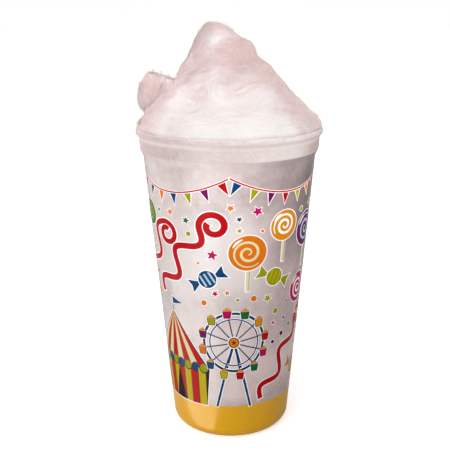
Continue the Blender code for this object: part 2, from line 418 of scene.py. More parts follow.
# Where it is whiter or pinker than that: middle above the lip, reach, how much. Most are the sugar's own
# white and pink patches; the three marked below are painted light that lifts shade at the heap's foot and in
# the tuft's hollows
PATCHES_AND_PAINTED_LIGHT = (
    ((-0.0270, -0.0310, 0.0168), (0.0055, 0.0100, 0.0045), 0.45),
    ((0.0175, -0.0335, 0.0187), (0.0068, 0.0105, 0.0048), 0.62),
    ((-0.0205, -0.0310, 0.0165), (0.0035, 0.0100, 0.0050), -0.30),
    ((-0.0068, -0.0339, 0.0220), (0.0048, 0.0100, 0.0050), 0.40),
    ((-0.0068, -0.0260, 0.0295), (0.0048, 0.0100, 0.0050), 0.34),
    ((-0.0070, -0.0140, 0.0480), (0.0054, 0.0080, 0.0032), 0.65),
    # painted light: lifts the shade at the foot of the heap, by the lip at the front right
    ((0.0160, -0.0400, 0.0040), (0.0260, 0.0200, 0.0070), 0.45),
    ((0.0380, -0.0250, 0.0060), (0.0080, 0.0160, 0.0060), 0.10),
    # painted light: lifts the shade under the torn tuft, low at the left
    ((-0.0455, 0.0000, 0.0090), (0.0065, 0.0200, 0.0028), 1.00),
    # painted light: lifts the shade in the hollow between the tuft and the heap
    ((-0.0330, 0.0040, 0.0245), (0.0070, 0.0120, 0.0042), 0.85),
    ((0.0050, -0.0180, 0.0370), (0.0080, 0.0100, 0.0040), -0.12),
    ((-0.0350, -0.0340, 0.0040), (0.0030, 0.0080, 0.0025), 0.20),
    ((0.0040, -0.0150, 0.0420), (0.0080, 0.0100, 0.0040), -0.10),
    ((-0.0405, 0.0110, 0.0150), (0.0120, 0.0160, 0.0130), -0.75),
    ((-0.0460, 0.0000, 0.0040), (0.0100, 0.0280, 0.0110), -0.85),
    ((-0.0300, -0.0360, 0.0015), (0.0110, 0.0120, 0.0050), -0.30),
    ((0.0150, 0.0330, 0.0190), (0.0070, 0.0100, 0.0050), 0.30),
    ((-0.0150, 0.0300, 0.0240), (0.0060, 0.0100, 0.0050), 0.30),
)

# Whorls in the way the fibres lie: middle above the lip, reach, turn in radians
WHORLS = (
    ((-0.0010, -0.0290, 0.0255), 0.0080, 2.4),
    ((0.0120, -0.0350, 0.0160), 0.0070, -1.8),
    ((-0.0220, -0.0300, 0.0200), 0.0080, 1.6),
    ((0.0100, 0.0330, 0.0220), 0.0090, 2.2),
    ((-0.0180, 0.0320, 0.0140), 0.0080, -1.8),
)

# Pale arcs at the left of the first whorl: radius, width, how much
ARCS = ((0.0086, 0.0007, 0.20), (0.0064, 0.0007, 0.16))


def surface(points, triangles):
    """The points' normals, the way each triangle faces, and its middle above the lip."""
    normals = point_normals(points, triangles)
    return normals, unit(normals[triangles].sum(axis=1)), points[triangles].mean(axis=1) - MOUTH


def whorled(points):
    """The points turned about each whorl's middle, the less the further away."""
    points = points - MOUTH
    for middle, reach, turn in WHORLS:
        away = points - middle
        angle = turn * swell(points, middle, reach)
        x = away[:, 0] * np.cos(angle) - away[:, 2] * np.sin(angle)
        z = away[:, 0] * np.sin(angle) + away[:, 2] * np.cos(angle)
        points = np.stack([middle[0] + x, points[:, 1], middle[2] + z], axis=1)
    return points + MOUTH


def stretched(points, along=2.6):
    """Places in which the noise's features are drawn out along the sugar's lay, in swirls."""
    points = whorled(points)
    across = np.hypot(points[:, 0], points[:, 1])
    angle = np.arctan2(points[:, 0], -points[:, 1])
    swirl, rise = layered(points, LAY_SWIRL), layered(points, LAY_RISE)
    return np.stack([(angle * LAY_TURN + swirl) / along, across + rise * 0.4, points[:, 2] + rise], axis=1)


def whiteness(points):
    """How pale the sugar is at each point, from 0 (pink) to 1 (white), including painted light that lifts the
    shade in a few hollows.
    """
    above = points - MOUTH
    side = np.degrees(np.arctan2(above[:, 0] + WHITE_LEAN * above[:, 2], -above[:, 1]))
    pale = np.interp(above[:, 2], *WHITE_BY_HEIGHT) * np.interp(abs(side - WHITEST_SIDE), *WHITE_BY_SIDE)
    for middle, reach, amount in PATCHES_AND_PAINTED_LIGHT:
        pale += amount * swell(above, middle, reach)
    middle = np.array(WHORLS[0][0])
    away = np.hypot(above[:, 0] - middle[0], above[:, 2] - middle[2])
    # the arcs show at the left of the front whorl and fade out above and below it
    left = np.clip((middle[0] - above[:, 0]) / away * 2.0 - 0.6, 0.0, 1.0) * (above[:, 1] < 0.0)
    for radius, width, amount in ARCS:
        pale += amount * left * np.exp(-(((away - radius) / width) ** 2))
    pale += layered(points, PALE_CLOUDS) + layered(stretched(points), PALE_STREAKS)
    return np.clip(pale, 0.0, 1.0)


def core_arrays():
    """The part of the heap that shows, remeshed finely, with its facets smoothed away."""
    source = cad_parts["cotton_candy"]
    copy = bpy.data.objects.new("copy", source.data.copy())
    bpy.context.scene.collection.objects.link(copy)
    remesh = copy.modifiers.new("remesh", "REMESH")
    remesh.mode = "VOXEL"
    remesh.voxel_size = CORE_GRAIN
    evaluated = copy.evaluated_get(bpy.context.evaluated_depsgraph_get())
    points, triangles = mesh_arrays(evaluated.data)
    bpy.data.objects.remove(copy)
    triangles = triangles[points[triangles][:, :, 2].min(axis=1) > RIM - FINE_DEPTH]
    used, triangles = np.unique(triangles, return_inverse=True)
    points, triangles = points[used], triangles.reshape(-1, 3)
    edges = triangle_edges(triangles)
    ends = np.concatenate([edges, edges[:, ::-1]])
    count = np.bincount(ends[:, 0], minlength=len(points))[:, None]
    for amount in TAUBIN * SMOOTHING_ROUNDS:
        total = [np.bincount(ends[:, 0], points[ends[:, 1], axis], len(points)) for axis in range(3)]
        points = points + amount * (np.stack(total, axis=1) / count - points)
    return points, triangles


def add_waves(points, triangles):
    """Relief and swells on the skin, and the torn tuft's top edge."""
    above = points - MOUTH
    free = np.clip((above[:, 2] - WAVES_START) / WAVES_RISE, 0.0, 1.0)
    lift = layered(stretched(points), WAVES) * free
    for out, middle, reach in SWELLS:
        lift += out * swell(above, middle, reach)
    lift += LIP_FILL * np.exp(-(((above[:, 2] - LIP_SWELL) / LIP_REACH) ** 2))
    points = points + point_normals(points, triangles) * lift[:, None]
    points[:, 2] -= LIP_SAG * np.exp(-((above[:, 2] / LIP_REACH) ** 2))
    top = np.minimum(*[height + slope * (points[:, 0] - place) for height, place, slope in TUFT_EDGE])
    top += RIM + layered(points, TUFT_TEARS)
    over = np.where(points[:, 0] < TUFT_RIGHT, np.maximum(points[:, 2] - top, 0.0), 0.0)
    points[:, 2] -= TUFT_PRESS * over
    return points


def filled_down(points, triangles):
    """The fine surface closed below by a plain skin that follows the inside of the cup."""
    edges = triangle_edges(triangles)
    size = len(points)
    rim = edges[~np.isin(edges[:, 0] * size + edges[:, 1], edges[:, 1] * size + edges[:, 0])]
    ring, place = np.unique(rim, return_inverse=True)
    a, b = place.reshape(-1, 2).T
    turn = np.arctan2(points[ring, 1], points[ring, 0])
    upper, skins = ring, [triangles]
    for radius, z in FILL:
        lower = len(points) + np.arange(len(ring))
        level = np.stack([np.cos(turn) * radius, np.sin(turn) * radius, np.full(len(turn), z)], axis=1)
        points = np.concatenate([points, level])
        skins.append(np.stack([upper[b], upper[a], lower[a]], axis=1))
        skins.append(np.stack([upper[b], lower[a], lower[b]], axis=1))
        upper = lower
    skins.append(np.stack([upper[b], upper[a], np.full(len(a), len(points))], axis=1))
    return np.concatenate([points, [(0.0, 0.0, FILL[-1][1])]]), np.concatenate(skins)


SUGAR_WHITE = np.array((0.700, 0.668, 0.657))
SUGAR_PINK = np.array((0.550, 0.412, 0.400))
FIBRE_SIZE = 0.00045


def floss_material():
    nodes = Nodes("floss")
    pale = nodes.add("Attribute", attribute_name="pale").outputs["Fac"]
    lay = nodes.add("Attribute", attribute_name="lay").outputs["Vector"]
    fibre = nodes.noise(FIBRE_SIZE, 3.0, 0.5, lay)
    fleck = nodes.varied(0.0008, -0.08, 0.08, 2.0)
    share = nodes.plus(pale, fleck, nodes.spread(fibre, 0.3, 0.7, -0.10, 0.10))
    bump = nodes.bump(nodes.noise(0.0006, 3.0, 0.7), 0.0002, 0.5, nodes.bump(fibre, 0.0002, 0.5))
    return nodes.finish(
        Base_Color=nodes.mix(share, (*SUGAR_PINK, 1.0), (*SUGAR_WHITE, 1.0)),
        Roughness=0.85,
        Normal=bump,
        Specular_IOR_Level=0.2,
        Subsurface_Weight=1.0,
        Subsurface_Radius=(1.0, 0.86, 0.84),
        Subsurface_Scale=0.012,
    )


def add_core():
    skin = core_arrays()
    points, triangles = filled_down(add_waves(*skin), skin[1])
    core = mesh_object("floss_core", points, triangles, floss_material())
    pale = core.data.attributes.new("pale", "FLOAT", "POINT")
    pale.data.foreach_set("value", whiteness(points).astype(np.float32))
    lay = core.data.attributes.new("lay", "FLOAT_VECTOR", "POINT")
    lay.data.foreach_set("vector", stretched(points, 8.0).astype(np.float32).ravel())
    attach(core, "root")
    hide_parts("cotton_candy")
    return points, triangles


# Loose strands: name, and the least whiteness of the sugar under them
TINTS = (
    ("strands_pink", -9.0),
    ("strands_rosy", 0.14),
    ("strands_pale", 0.38),
    ("strands_milky", 0.62),
    ("strands_white", 0.84),
)
STRAND_GAIN = 1.07
BUNDLES = 1500
STRANDS = 8
SEGMENTS = 9
STRAND_WIDTH = 0.00009
BUNDLE_LENGTH = (0.007, 0.020)
BUNDLE_WIDTH = (0.0003, 0.0016)
# How far bundles turn from the way the sugar lies, in radians, and how much their strands fan out
BUNDLE_TURN, BUNDLE_FAN = 0.28, 0.5
# How far strands arch off the surface, and how far off it they lie at the least
LIFT = (0.00003, 0.00022)
CLEARANCE = 0.00002
# Bundles start above the first of these heights over the lip, and no strand goes below the second
BUNDLE_FOOT, STRAND_FOOT = -0.0002, -0.0006
# How much a strand's whiteness differs from that of the sugar under it
TINT_SPREAD = 0.10


def flow(points, normals, turn):
    """The way the strands lie at each point of the surface: mostly round the heap, in swirls."""
    around = unit(np.stack([-points[:, 1], points[:, 0], np.zeros(len(points))], axis=1))
    swirl = layered(points, STRAND_SWIRL) + turn
    for middle, reach, spin in WHORLS:
        swirl -= spin * swell(points - MOUTH, middle, reach)
    along = around * np.cos(swirl)[:, None]
    along[:, 2] += np.sin(swirl)
    return unit(along - normals * np.sum(along * normals, axis=1, keepdims=True))


def follow(tree, facing, starts, lengths, turns, segments):
    """Paths on the surface from the starts, along the flow: their points and normals."""
    path, sides = [starts[0]], [starts[1]]
    for _ in range(segments):
        place, normal = path[-1], sides[-1]
        ahead = place + flow(place, normal, turns) * (lengths / segments)[:, None]
        near, out = np.empty_like(place), np.empty_like(place)
        for index, point in enumerate(ahead):
            hit, _, face, _ = tree.find_nearest(point)
            near[index] = hit
            out[index] = facing[face]
        path.append(near)
        sides.append(unit(out + normal))
    return np.stack(path, axis=1), np.stack(sides, axis=1)


def ribbon_arrays(paths, normals, across, width):
    """Flat ribbons along paths (strand, point, xyz), tapering to their tips."""
    count, points = paths.shape[:2]
    taper = tapering((0.06, 0.94), points) ** 0.5
    half = across * (width[:, None, None] * taper[None, :, None] / 2)
    corners = np.stack([paths - half, paths + half], axis=2).reshape(-1, 3)
    facing = np.repeat(normals, 2, axis=1).reshape(-1, 3)
    first = (np.arange(count) * points * 2)[:, None] + np.arange(points - 1) * 2
    faces = np.stack([first, first + 2, first + 3, first + 1], axis=-1).reshape(-1, 4)
    return corners, faces, facing


def tube_arrays(paths, normals, width):
    """Three-sided tubes along paths (strand, point, xyz), tapering to their tips."""
    count, points = paths.shape[:2]
    along = unit(np.gradient(paths, axis=1))
    side = unit(np.cross(along, normals))
    other = np.cross(along, side)
    taper = tapering((0.08, 0.90), points) ** 0.5
    radius = width[:, None, None] * taper[None, :, None] / 2
    ring = [side * math.cos(t) * radius + other * math.sin(t) * radius for t in TUBE_CORNERS]
    corners = (paths[:, :, None] + np.stack(ring, axis=2)).reshape(-1, 3)
    facing = np.repeat(normals, 3, axis=1).reshape(-1, 3)
    first = (np.arange(count) * points * 3)[:, None, None] + (np.arange(points - 1) * 3)[:, None]
    this, following = np.arange(3), (np.arange(3) + 1) % 3
    faces = np.stack([first + this, first + following, first + following + 3, first + this + 3], axis=-1)
    return corners, faces.reshape(-1, 4), facing


def strand_material(name, tint):
    nodes = Nodes(name)
    rough = nodes.varied(0.002, 0.70, 0.95)
    bump = nodes.bump(nodes.noise(0.0008, 2.0), 0.0001, 0.4)
    return nodes.finish(Base_Color=tint, Roughness=rough, Normal=bump, Specular_IOR_Level=0.25)


def scatter(rng, points, triangles, count, chance):
    """Random places on the triangles, as likely per area as chance says."""
    a, b, c = (points[triangles[:, k]] for k in range(3))
    area = np.linalg.norm(np.cross(b - a, c - a), axis=1) * chance
    picked = rng.choice(len(triangles), count, p=area / area.sum())
    u, v = rng.random((2, count))
    u, v = np.where(u + v > 1, 1 - u, u), np.where(u + v > 1, 1 - v, v)
    places = a[picked] + (b - a)[picked] * u[:, None] + (c - a)[picked] * v[:, None]
    return places, picked


def add_strands(points, triangles):
    """Bundles of flat strands that follow the surface, sorted into pieces by how pale they are."""
    rng = np.random.default_rng(8)
    _, facing, middle = surface(points, triangles)
    chance = (middle[:, 2] > BUNDLE_FOOT).astype(float)
    places, picked = scatter(rng, points, triangles, BUNDLES, chance)
    tree = BVHTree.FromPolygons(points.tolist(), triangles.tolist())
    lengths = rng.uniform(*BUNDLE_LENGTH, BUNDLES)
    turns = rng.normal(0.0, BUNDLE_TURN, BUNDLES)
    guides, sides = follow(tree, facing, (places, facing[picked]), lengths, turns, SEGMENTS)
    across = unit(np.cross(sides, unit(np.gradient(guides, axis=1))))
    spread = rng.uniform(*BUNDLE_WIDTH, BUNDLES)
    offset = rng.uniform(-1, 1, (BUNDLES, STRANDS)) * spread[:, None]
    widening = rng.normal(0, 1, (BUNDLES, STRANDS, 1)) * np.linspace(-1, 1, SEGMENTS + 1)
    fan = offset[:, :, None] * (1 + BUNDLE_FAN * widening)
    lift = rng.uniform(*LIFT, (BUNDLES, STRANDS))[:, :, None] * tapering((0.0, 1.0), SEGMENTS + 1) + CLEARANCE
    paths = guides[:, None] + across[:, None] * fan[..., None] + sides[:, None] * lift[..., None]
    count = BUNDLES * STRANDS
    paths = paths.reshape(count, SEGMENTS + 1, 3)
    sides, across = (np.repeat(each, STRANDS, axis=0) for each in (sides, across))
    width = STRAND_WIDTH * rng.uniform(0.6, 1.7, count)
    pale = whiteness(paths[:, SEGMENTS // 2]) + rng.normal(0.0, TINT_SPREAD, count)
    keep = paths[:, :, 2].min(axis=1) > RIM + STRAND_FOOT
    for index, (name, low) in enumerate(TINTS):
        high = TINTS[index + 1][1] if index + 1 < len(TINTS) else 9.0
        chosen = keep & (pale > low) & (pale <= high)
        share = index / (len(TINTS) - 1)
        tint = (SUGAR_PINK * (1 - share) + SUGAR_WHITE * share) * STRAND_GAIN
        arrays = ribbon_arrays(paths[chosen], sides[chosen], across[chosen], width[chosen])
        piece = mesh_object(name, arrays[0], arrays[1], strand_material(name, (*tint, 1.0)), arrays[2])
        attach(piece, "root")


# The directions of a tube's three corners, in radians
TUBE_CORNERS = (0.0, 2.0944, 4.1888)

FLYAWAYS = 7600
FLYAWAY_SEGMENTS = 4
FLYAWAY_LENGTH = (0.0020, 0.0070)
FLYAWAY_HEIGHT = 0.00036
FLYAWAY_WIDTH = 0.00006
FLYAWAY_FOOT = 0.0005
FLYAWAY_TINT = (0.76, 0.69, 0.68, 1.0)
# How far fly-aways turn from the way the sugar lies, how much they bend, and how fast they come down
FLYAWAY_TURN, FLYAWAY_BEND, FLYAWAY_FALL = 0.9, 0.25, 0.10
# Where there are more of them: middle above the lip, reach, how many times more
FUZZY = ((-0.040, 0.012, 0.026), (0.010, 0.014, 0.006), 1.5)

# Wisps drawn out into points: foot above the lip, way out, length, spread at the foot
WISPS = (
    ((-0.0148, -0.0020, 0.0488), (-0.70, 0.00, 0.62), 0.0036, 0.0020),
    ((-0.0430, 0.0100, 0.0262), (-0.28, 0.00, 0.95), 0.0042, 0.0016),
    ((-0.0380, 0.0090, 0.0270), (0.15, 0.00, 1.00), 0.0030, 0.0022),
    ((-0.0340, 0.0090, 0.0258), (0.55, 0.00, 0.80), 0.0034, 0.0016),
    ((-0.0420, 0.0100, 0.0280), (-0.10, 0.00, 1.00), 0.0026, 0.0022),
)
WISP_STRANDS = 40
WISP_FACING = (-0.2, -0.9, 0.3)


def flyaway_paths(rng, points, triangles):
    """Strands that stand a little off the surface, and blur its outline."""
    _, facing, middle = surface(points, triangles)
    chance = (middle[:, 2] > FLYAWAY_FOOT) * (1 + FUZZY[2] * swell(middle, *FUZZY[:2]))
    starts, picked = scatter(rng, points, triangles, FLYAWAYS, chance)
    normal = facing[picked]
    way = flow(starts, normal, rng.normal(0.0, FLYAWAY_TURN, FLYAWAYS))
    length = rng.uniform(*FLYAWAY_LENGTH, FLYAWAYS)
    height = FLYAWAY_HEIGHT * rng.exponential(1.0, FLYAWAYS).clip(0.1, 4.0)
    share = np.linspace(0.0, 1.0, FLYAWAY_SEGMENTS + 1)
    bend = rng.normal(0.0, FLYAWAY_BEND, FLYAWAYS)
    side = np.cross(normal, way)
    arch = np.sin(share * math.pi * rng.uniform(0.5, 1.0, FLYAWAYS)[:, None])
    paths = starts[:, None] + way[:, None] * (share * length[:, None])[..., None]
    paths += side[:, None] * (share**2 * (bend * length)[:, None])[..., None]
    paths += normal[:, None] * (arch * height[:, None])[..., None]
    paths -= normal[:, None] * (share**2 * (length**2)[:, None] / FLYAWAY_FALL)[..., None]
    return paths, np.broadcast_to(normal[:, None], paths.shape)


def wisp_paths(rng):
    """Strands that run together into the wisps' points."""
    draw = np.linspace(0.0, 1.0, FLYAWAY_SEGMENTS + 1)[:, None]
    paths = []
    for foot, way, length, spread in WISPS:
        tip = foot + MOUTH
        start = tip + rng.normal(0.0, spread / 2, (WISP_STRANDS, 3))
        reach = unit(np.array(way)) * length
        stretch = rng.uniform(0.55, 1.0, WISP_STRANDS)[:, None, None]
        path = start[:, None] * (1 - draw) + tip * draw + reach * draw * stretch
        paths.append(path + rng.normal(0.0, 0.00025, (WISP_STRANDS, 1, 3)) * np.sin(draw * math.pi))
    paths = np.concatenate(paths)
    return paths, np.broadcast_to(unit(np.array(WISP_FACING)), paths.shape)


def add_fuzz(points, triangles):
    rng = np.random.default_rng(12)
    loose, wisps = flyaway_paths(rng, points, triangles), wisp_paths(rng)
    paths, normals = (np.concatenate(pair) for pair in zip(loose, wisps))
    arrays = tube_arrays(paths, normals, FLYAWAY_WIDTH * rng.uniform(0.6, 1.6, len(paths)))
    material = strand_material("flyaways", FLYAWAY_TINT)
    piece = mesh_object("flyaways", arrays[0], arrays[1], material, arrays[2])
    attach(piece, "root")


CRYSTALS = 90
CRYSTAL_SIZE = (0.00016, 0.00034)
CRYSTAL_FOOT, CRYSTAL_LIFT = 0.001, 0.0001
# Most grains are about this far to the right, within this reach
CRYSTAL_SIDE, CRYSTAL_REACH = 0.028, 0.010


def add_crystals(points, triangles):
    """Grains of sugar that didn't spin, caught in the strands."""
    rng = np.random.default_rng(5)
    normals, _, middle = surface(points, triangles)
    right = np.exp(-(((middle[:, 0] - CRYSTAL_SIDE) / CRYSTAL_REACH) ** 2))
    chance = (middle[:, 2] > CRYSTAL_FOOT) * (0.3 + 1.6 * right)
    places, picked = scatter(rng, points, triangles, CRYSTALS, chance)
    places += normals[triangles[picked, 0]] * CRYSTAL_LIFT
    corners = np.array([(1, 0, 0), (-1, 0, 0), (0, 1, 0), (0, -1, 0), (0, 0, 1), (0, 0, -1)], float)
    sides = np.array([(0, 2, 4), (2, 1, 4), (1, 3, 4), (3, 0, 4), (2, 0, 5), (1, 2, 5), (3, 1, 5), (0, 3, 5)])
    size = rng.uniform(*CRYSTAL_SIZE, (CRYSTALS, 1, 3))
    turn = unit(rng.normal(0.0, 1.0, (CRYSTALS, 3, 3)))
    grains = places[:, None] + (corners * size) @ turn
    faces = (sides[None] + (np.arange(CRYSTALS) * len(corners))[:, None, None]).reshape(-1, 3)
    nodes = Nodes("crystal")
    rough = nodes.varied(0.0006, 0.08, 0.30)
    clear = nodes.finish(Base_Color=(0.97, 0.95, 0.95, 1.0), Roughness=rough, IOR=1.55)
    piece = mesh_object("crystals", grains.reshape(-1, 3), faces, clear, smooth=False)
    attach(piece, "root")


# ---------------------------------------------------------------- the cup

# The cup's section in millimetres: points as radius and height, then the lip's half width and half height
FOOT_CORNER = (26.6, 7.2)
WALL_FOOT = (33.8, 7.2)
SHOULDER = (47.7, 159.3)
COLLAR_FOOT = (49.5, 163.3)
LIP_MIDDLE = (50.35, 172.7)
LIP_HALF = (1.35, 2.3)
# How many steps the cup is turned in
TURN = 256
BAND_TOP = 22.0
INK_THICKNESS = 0.05


def wall_radius(z):
    share = (z - WALL_FOOT[1]) / (SHOULDER[1] - WALL_FOOT[1])
    return WALL_FOOT[0] + (SHOULDER[0] - WALL_FOOT[0]) * share


def arc_points(middle, half, start, stop, steps):
    turns = np.radians(np.linspace(start, stop, steps + 1))
    return [(middle[0] + half[0] * math.cos(t), middle[1] + half[1] * math.sin(t)) for t in turns]


def bend(before, corner, after, reach, steps=4):
    """A rounded corner: a quadratic curve that leaves each side at the reach from the corner."""
    before, corner, after = (np.array(point, float) for point in (before, corner, after))
    start = corner + unit(before - corner) * reach
    stop = corner + unit(after - corner) * reach
    curve = []
    for t in np.linspace(0.0, 1.0, steps + 1):
        curve.append(tuple(start * (1 - t) ** 2 + corner * 2 * t * (1 - t) + stop * t**2))
    return curve


def cup_section():
    """The cup's outline from the middle of its underside, up the outside and down the inside."""
    foot = [(10.0, 2.0), (20.5, 2.0), (22.5, 0.0), (26.6, 0.0)]
    lip_foot, lip_under = (49.98, 170.1), (51.45, 171.7)
    section = [(0.0, 2.0), (10.0, 2.0)]
    section += bend(*foot[:3], 0.8) + bend(*foot[1:], 0.6)
    section += arc_points(FOOT_CORNER, (7.2, 7.2), -90, 0, 14)
    section += [(wall_radius(z), z) for z in (15.0, BAND_TOP, 60.0, 110.0, 150.0)]
    section += bend((wall_radius(150.0), 150.0), SHOULDER, COLLAR_FOOT, 0.9)
    section += bend(SHOULDER, COLLAR_FOOT, lip_foot, 0.35)
    section += bend(COLLAR_FOOT, lip_foot, lip_under, 1.0, 6)
    section += arc_points(LIP_MIDDLE, LIP_HALF, -20, 180, 22)
    section += [(48.6, 170.0), (48.4, 163.0), (46.7, 159.3), (32.8, 10.0)]
    section += arc_points((26.6, 9.6), (6.2, 6.2), 0, -90, 6)
    section += [(10.0, 3.4), (0.0, 3.4)]
    return np.array(section) / 1000.0


def turned_arrays(section, turn):
    """A closed turned skin from a section whose first and last points are on the axis."""
    radius, z = section[1:-1].T
    angles = np.arange(turn) * 2 * math.pi / turn
    level = np.repeat(z[:, None], turn, axis=1)
    rings = [np.outer(radius, np.sin(angles)), np.outer(radius, -np.cos(angles)), level]
    rings = np.stack(rings, axis=-1).reshape(-1, 3)
    here = np.arange(turn)
    following = (here + 1) % turn
    row = (np.arange(len(radius) - 1) * turn)[:, None]
    a, b = row + here, row + following
    sides = np.concatenate([np.stack(face, -1) for face in ((a, b, b + turn), (a, b + turn, a + turn))])
    foot, top = np.full(turn, len(rings)), (len(radius) - 1) * turn
    lids = [(following, here, foot), (top + here, top + following, foot + 1)]
    poles = [(0.0, 0.0, section[0, 1]), (0.0, 0.0, section[-1, 1])]
    faces = np.concatenate([sides.reshape(-1, 3), *[np.stack(lid, -1) for lid in lids]])
    return np.concatenate([rings, poles]), faces


def srgb(*channels):
    """A linear colour from its everyday 0 to 255 values."""
    values = [channel / 255 for channel in channels]
    return tuple(v / 12.92 if v <= 0.04045 else ((v + 0.055) / 1.055) ** 2.4 for v in values)


GOLD = (*srgb(222, 165, 8), 1.0)
GOLD_WORN = (0.45, 0.21, 0.012, 1.0)
PLASTIC_PALE = (0.565, 0.495, 0.480, 1.0)
PLASTIC_DULL = (0.420, 0.338, 0.331, 1.0)
PLASTIC_PAINTED_SHADE = (0.140, 0.114, 0.114, 1.0)
PLASTIC_BACKED_AND_PAINTED_LIGHT = (0.740, 0.630, 0.610, 1.0)
PLASTIC_MILKY = (0.640, 0.592, 0.582, 1.0)
PLASTIC_ROSY = (1.000, 0.920, 0.925, 1.0)
COLLAR_PAINTED_SHADE_LEFT = (0.412, 0.328, 0.320, 1.0)
COLLAR_PAINTED_LIT_RIGHT = (0.575, 0.512, 0.494, 1.0)
PAINTED_LIGHT_TINT = (0.850, 0.780, 0.760, 1.0)
# Heights: where the collar begins, and the crease under the lip
COLLAR_RISE = (0.1626, 0.1631)
CREASE = 0.1706
# Streaks in the plastic: width, that width as a part of the length, and about how far out they lie
STREAK_WIDTH, STREAK_SHARE, STREAK_RADIUS = 0.0011, 0.22, 0.045


def cup_grain(nodes, axes):
    """Fine slanting streaks in the plastic, from -1 to 1."""
    height = axes.outputs["Z"]
    turn = nodes.math("ARCTAN2", axes.outputs["X"], nodes.times(axes.outputs["Y"], -1.0))
    across = nodes.times(turn, STREAK_RADIUS)
    along = nodes.times(nodes.less(across, height), STREAK_SHARE)
    place = nodes.add("CombineXYZ", {0: along, 1: nodes.plus(across, height), 2: 0.0}).outputs[0]
    return nodes.varied(STREAK_WIDTH, -1.0, 1.0, 2.0, 0.5, place)


